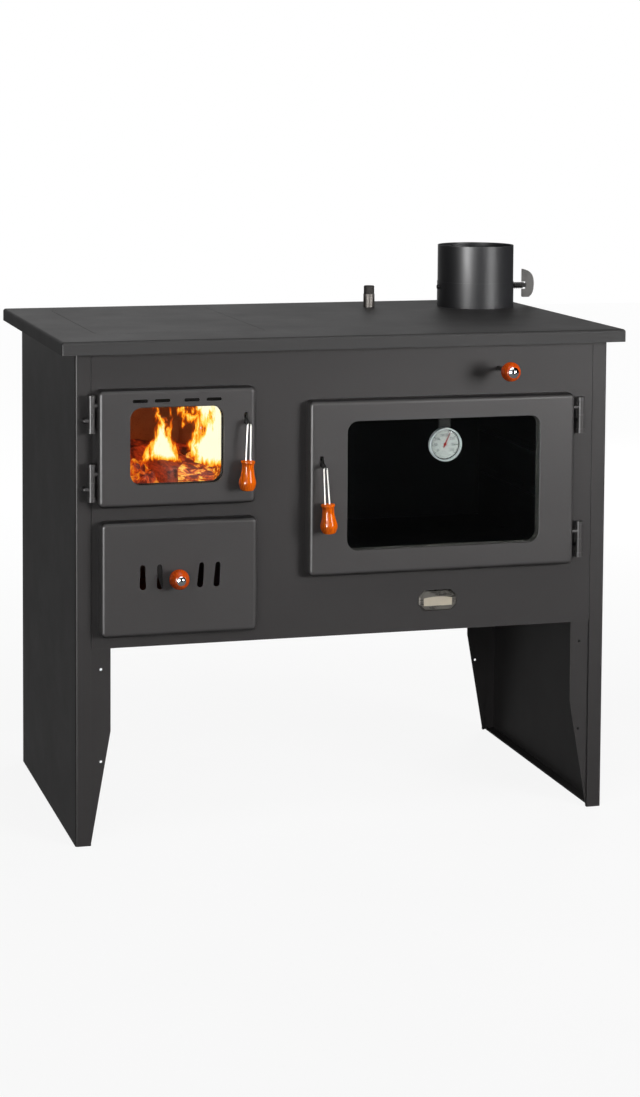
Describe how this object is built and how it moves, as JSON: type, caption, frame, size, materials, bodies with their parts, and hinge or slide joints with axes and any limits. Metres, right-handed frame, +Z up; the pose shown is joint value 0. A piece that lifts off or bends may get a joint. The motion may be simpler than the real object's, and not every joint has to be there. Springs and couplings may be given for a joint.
{
  "type": "wood cookstove",
  "caption": "Solid-fuel cooker on panel legs: glazed firebox over an ash drawer, glazed oven beside, folded cooktop with lift-out hot plate and a flue collar with damper.",
  "frame": {"origin": "on the floor, under the middle of the whole part's bounding box", "axes": "+X to the right of someone facing the doors, +Y from the doors to the wall, +Z up"},
  "size_m": [1.0148, 0.676, 0.973],
  "materials": {
    "body_paint": "satin",
    "door_paint": "satin",
    "cooktop_paint": "satin",
    "flue_paint": "satin",
    "cast_iron": "rough",
    "black_steel": "satin",
    "mild_steel": "satin",
    "zinc_steel": "satin",
    "chrome": "polished",
    "varnished_wood": "gloss",
    "door_glass": "polished",
    "fire_brick": "matt",
    "rope": "matt",
    "dial_white": "matt",
    "needle_red": "matt",
    "badge_metal": "satin"
  },
  "bodies": {
    "stove_body": {"left_side_panel": "body_paint", "right_side_panel": "body_paint", "front_panel": "body_paint", "rear_panel": "body_paint", "base_panel": "body_paint", "cooktop": "cooktop_paint", "flue_collar": "flue_paint", "pipe_stub": "mild_steel", "pipe_plug": "cast_iron", "firebox_casing": "mild_steel", "fire_bricks": "fire_brick", "grate_frame": "mild_steel", "fire_grate": "cast_iron", "drawer_runners": "mild_steel", "oven_box": "black_steel", "oven_runners": "zinc_steel", "gas_baffle": "mild_steel", "hinge_seats": "door_paint", "hinge_pins": "zinc_steel", "latch_catches": "zinc_steel", "badge_bezel": "badge_metal", "badge_plate": "badge_metal"},
    "fire_door": {"fire_door_shell": "door_paint", "fire_door_liner": "mild_steel", "fire_door_glass": "door_glass", "fire_glass_clips": "zinc_steel", "fire_door_rope": "rope", "fire_door_knuckles": "door_paint", "fire_latch_bracket": "zinc_steel"},
    "fire_latch": {"fire_latch_lever": "black_steel"},
    "fire_handle": {"fire_handle_wire": "chrome", "fire_handle_grip": "varnished_wood"},
    "oven_door": {"oven_door_shell": "door_paint", "oven_door_liner": "mild_steel", "oven_door_glass": "door_glass", "oven_glass_clips": "zinc_steel", "oven_door_rope": "rope", "oven_door_knuckles": "door_paint", "oven_latch_bracket": "zinc_steel", "thermometer_case": "chrome", "thermometer_dial": "dial_white", "thermometer_strap": "zinc_steel"},
    "oven_latch": {"oven_latch_lever": "black_steel"},
    "oven_handle": {"oven_handle_wire": "chrome", "oven_handle_grip": "varnished_wood"},
    "thermometer_pointer": {"thermometer_needle": "needle_red"},
    "ash_drawer": {"drawer_front": "door_paint", "ash_pan": "mild_steel"},
    "air_register": {"register_plate": "zinc_steel", "register_knob": "varnished_wood", "register_cap": "chrome"},
    "draft_slide": {"draft_plate": "mild_steel", "draft_rod": "black_steel", "draft_knob": "varnished_wood", "draft_trim": "chrome"},
    "flue_damper": {"damper_disc": "mild_steel", "damper_spindle": "black_steel", "damper_key": "zinc_steel", "damper_spring": "black_steel"},
    "hot_plate": {"hot_plate": "cooktop_paint"}
  },
  "joints": [
    {"name": "fire_door_hinge", "type": "hinge", "parent": "stove_body", "child": "fire_door", "pos_m": [-0.45675, -0.27402, 0.67475], "axis": [0, 0, -1], "range_deg": [0, 120]},
    {"name": "fire_latch_lift", "type": "hinge", "parent": "fire_door", "child": "fire_latch", "pos_m": [-0.19475, -0.27202, 0.7194], "axis": [-1, 0, 0], "range_deg": [0, 30]},
    {"name": "fire_handle_swing", "type": "hinge", "parent": "fire_latch", "child": "fire_handle", "pos_m": [-0.19475, -0.30602, 0.7131], "axis": [-1, 0, 0], "range_deg": [-3, 90]},
    {"name": "oven_door_hinge", "type": "hinge", "parent": "stove_body", "child": "oven_door", "pos_m": [0.41275, -0.27402, 0.5946], "axis": [0, 0, 1], "range_deg": [0, 120]},
    {"name": "oven_latch_lift", "type": "hinge", "parent": "oven_door", "child": "oven_latch", "pos_m": [-0.06145, -0.27202, 0.64], "axis": [-1, 0, 0], "range_deg": [0, 30]},
    {"name": "oven_handle_swing", "type": "hinge", "parent": "oven_latch", "child": "oven_handle", "pos_m": [-0.06145, -0.30602, 0.6337], "axis": [-1, 0, 0], "range_deg": [-3, 90]},
    {"name": "thermometer_turn", "type": "hinge", "parent": "oven_door", "child": "thermometer_pointer", "pos_m": [0.16325, -0.26752, 0.6618], "axis": [0, 1, 0], "range_deg": [-160, 110]},
    {"name": "ash_drawer_slide", "type": "slide", "parent": "stove_body", "child": "ash_drawer", "axis": [0, -1, 0], "range_m": [0, 0.3]},
    {"name": "air_register_turn", "type": "hinge", "parent": "ash_drawer", "child": "air_register", "pos_m": [-0.314, -0.28252, 0.456], "axis": [0, -1, 0], "range_deg": [-18, 72]},
    {"name": "draft_pull", "type": "slide", "parent": "stove_body", "child": "draft_slide", "axis": [0, -1, 0], "range_m": [-0.036, 0.02]},
    {"name": "flue_damper_turn", "type": "hinge", "parent": "stove_body", "child": "flue_damper", "pos_m": [0.38725, 0.20098, 0.893], "axis": [1, 0, 0], "range_deg": [0, 90]},
    {"name": "hot_plate_lift", "type": "slide", "parent": "stove_body", "child": "hot_plate", "axis": [0, 0, 1], "range_m": [0, 0.15]}
  ]
}
